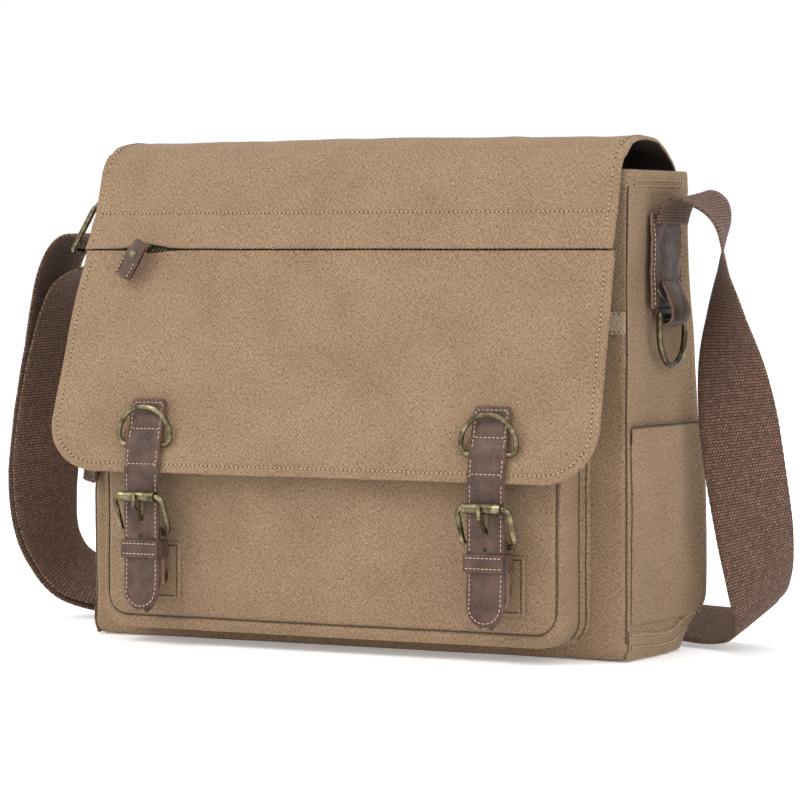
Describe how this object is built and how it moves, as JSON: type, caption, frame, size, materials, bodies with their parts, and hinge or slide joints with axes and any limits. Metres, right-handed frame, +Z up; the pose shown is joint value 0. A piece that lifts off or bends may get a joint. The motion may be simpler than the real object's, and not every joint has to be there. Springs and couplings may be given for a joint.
{
  "type": "messenger bag",
  "caption": "Canvas messenger bag with a fold-over flap, front box pocket, buckled leather closures, side rings, zips and a webbing shoulder strap.",
  "frame": {"origin": "centre of the body's base, on the surface that the bag stands on", "axes": "+Z up, +X along the bag's width to the wearer's right of the front face seen from behind it, front towards -Y"},
  "size_m": [0.5495, 0.2289, 0.3206],
  "materials": {
    "canvas": "matt twill weave",
    "lining": "matt",
    "board": "matt",
    "zip_tape": "matt",
    "webbing": "matt woven",
    "leather": "satin",
    "metal": "antique satin"
  },
  "bodies": {
    "bag": {"base_panel": "canvas", "base_board": "board", "front_panel": "canvas", "back_panel": "canvas", "gusset_left": "canvas", "gusset_right": "canvas", "compartment_wall": "lining", "compartment_top": "lining", "laptop_divider": "lining", "base_band_left": "canvas", "base_band_right": "canvas", "side_pocket_left": "canvas", "side_pocket_right": "canvas", "front_zip": "zip_tape", "zip_end_tab": "canvas", "pocket_front": "canvas", "pocket_gusset_left": "canvas", "pocket_gusset_right": "canvas", "pocket_bottom": "canvas", "snap_patch_left": "canvas", "snap_patch_right": "canvas", "snap_socket_left": "metal", "snap_socket_right": "metal", "side_anchor_left": "leather", "side_anchor_right": "leather", "shoulder_strap": "webbing", "strap_return": "webbing", "strap_adjuster": "metal"},
    "flap_top": {"flap_crest": "canvas", "crest_lining": "lining"},
    "flap_front": {"flap_placket": "canvas", "flap_apron": "canvas", "flap_lining": "lining", "flap_zip": "zip_tape", "stitched_strap_left": "leather", "stitched_strap_right": "leather"},
    "ring_left": {"closure_ring_left": "metal"},
    "closure_left": {"closure_strap_left": "leather", "buckle_frame_left": "metal", "chape_left": "leather", "keeper_left": "leather", "snap_stud_left": "metal"},
    "roller_left": {"buckle_roller_left": "metal"},
    "prong_left": {"buckle_prong_left": "metal"},
    "ring_right": {"closure_ring_right": "metal"},
    "closure_right": {"closure_strap_right": "leather", "buckle_frame_right": "metal", "chape_right": "leather", "keeper_right": "leather", "snap_stud_right": "metal"},
    "roller_right": {"buckle_roller_right": "metal"},
    "prong_right": {"buckle_prong_right": "metal"},
    "flap_slider": {"flap_zip_slider": "metal"},
    "flap_puller": {"flap_zip_puller": "leather", "flap_zip_rivet": "metal"},
    "front_slider": {"front_zip_slider": "metal"},
    "front_puller": {"front_zip_puller": "leather", "front_zip_rivet": "metal"},
    "side_ring": {"side_ring_right": "metal"},
    "strap_loop": {"strap_ring": "metal"}
  },
  "joints": [
    {"name": "flap_lift", "type": "hinge", "parent": "bag", "child": "flap_top", "pos_m": [0, 0.0505, 0.301], "axis": [-1, 0, 0], "range_deg": [0, 210]},
    {"name": "flap_fold", "type": "hinge", "parent": "flap_top", "child": "flap_front", "pos_m": [0, -0.052, 0.306], "axis": [-1, 0, 0], "range_deg": [0, 90]},
    {"name": "ring_swing_left", "type": "hinge", "parent": "flap_front", "child": "ring_left", "pos_m": [-0.12, -0.10019, 0.12756], "axis": [1, 0, 0], "range_deg": [0, 70]},
    {"name": "closure_lift_left", "type": "hinge", "parent": "flap_front", "child": "closure_left", "pos_m": [-0.12, -0.1055, 0.1112], "axis": [-1, 0, 0], "range_deg": [0, 95]},
    {"name": "roller_spin_left", "type": "hinge", "parent": "closure_left", "child": "roller_left", "pos_m": [-0.12, -0.1093, 0.0955], "axis": [1, 0, 0], "continuous": true},
    {"name": "prong_lift_left", "type": "hinge", "parent": "closure_left", "child": "prong_left", "pos_m": [-0.12, -0.09895, 0.072], "axis": [1, 0, 0], "range_deg": [0, 8]},
    {"name": "ring_swing_right", "type": "hinge", "parent": "flap_front", "child": "ring_right", "pos_m": [0.12, -0.10019, 0.12756], "axis": [1, 0, 0], "range_deg": [0, 70]},
    {"name": "closure_lift_right", "type": "hinge", "parent": "flap_front", "child": "closure_right", "pos_m": [0.12, -0.1055, 0.1112], "axis": [-1, 0, 0], "range_deg": [0, 95]},
    {"name": "roller_spin_right", "type": "hinge", "parent": "closure_right", "child": "roller_right", "pos_m": [0.12, -0.1093, 0.0955], "axis": [1, 0, 0], "continuous": true},
    {"name": "prong_lift_right", "type": "hinge", "parent": "closure_right", "child": "prong_right", "pos_m": [0.12, -0.09895, 0.072], "axis": [1, 0, 0], "range_deg": [0, 8]},
    {"name": "flap_zip_slide", "type": "slide", "parent": "flap_front", "child": "flap_slider", "axis": [1, 0, 0], "range_m": [0, 0.31]},
    {"name": "flap_puller_swing", "type": "hinge", "parent": "flap_slider", "child": "flap_puller", "pos_m": [-0.14, -0.06751, 0.25031], "axis": [0, -0.972, 0.2351], "range_deg": [-60, 60]},
    {"name": "front_zip_slide", "type": "slide", "parent": "bag", "child": "front_slider", "axis": [0, 0, 1], "range_m": [0, 0.14]},
    {"name": "front_puller_swing", "type": "hinge", "parent": "front_slider", "child": "front_puller", "pos_m": [-0.183, -0.0513, 0.118], "axis": [0, -1, 0], "range_deg": [-30, 30]},
    {"name": "side_ring_swing", "type": "hinge", "parent": "bag", "child": "side_ring", "pos_m": [0.1952, 0.004, 0.2105], "axis": [0, -1, 0], "range_deg": [-5, 10]},
    {"name": "strap_ring_swing", "type": "hinge", "parent": "bag", "child": "strap_loop", "pos_m": [-0.2035, 0.004, 0.278], "axis": [0, -1, 0], "range_deg": [-8, 8]}
  ]
}
